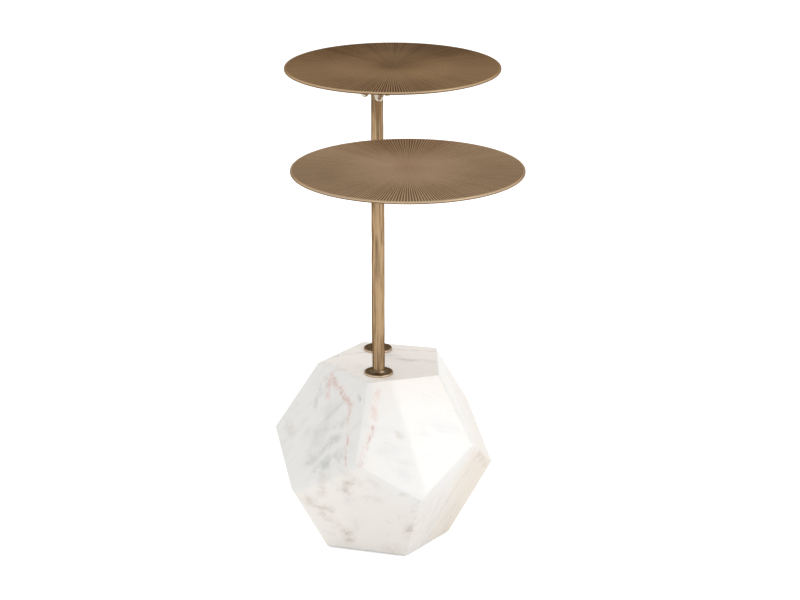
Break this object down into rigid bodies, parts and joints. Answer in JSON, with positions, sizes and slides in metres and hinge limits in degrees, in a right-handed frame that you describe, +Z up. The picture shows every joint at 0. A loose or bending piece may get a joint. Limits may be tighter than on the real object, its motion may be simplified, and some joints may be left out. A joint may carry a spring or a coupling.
{
  "type": "side table",
  "caption": "Side table: a faceted marble block carries thin round fluted tops at staggered heights on slim forged posts.",
  "frame": {"origin": "on the floor, at the middle of the stone block, where the block's own axis meets the felt's underside", "axes": "+Z up; Y runs along the line through the posts, with the taller stand at +Y; -Y is the side that the picture is taken from, and +X is on its right"},
  "size_m": [0.2779, 0.5137, 0.533],
  "materials": {
    "marble": "polished white marble, grey and rust veins",
    "felt": "pressed wool felt",
    "forged_brass": "hammered, antiqued and lacquered",
    "dark_bronze": "dark antique brass, satin",
    "fluted_brass": "cast, antique brass finish, satin",
    "bright_steel": "nickel plated",
    "zinc_steel": "zinc plated"
  },
  "bodies": {
    "root": {"marble_base": "marble", "base_felt": "felt", "rear_hex_nut": "zinc_steel", "rear_spring_washer": "zinc_steel", "rear_plate_washer": "zinc_steel", "rear_tie_rod": "zinc_steel", "rear_rosette": "dark_bronze", "rear_post": "forged_brass", "upper_mount_plate": "dark_bronze", "upper_lock_washers": "bright_steel", "upper_cap_nuts": "bright_steel", "upper_studs": "zinc_steel", "upper_top": "fluted_brass", "front_hex_nut": "zinc_steel", "front_spring_washer": "zinc_steel", "front_plate_washer": "zinc_steel", "front_tie_rod": "zinc_steel", "front_rosette": "dark_bronze", "front_post": "forged_brass", "lower_mount_plate": "dark_bronze", "lower_lock_washers": "bright_steel", "lower_cap_nuts": "bright_steel", "lower_studs": "zinc_steel", "lower_top": "fluted_brass"}
  },
  "joints": []
}
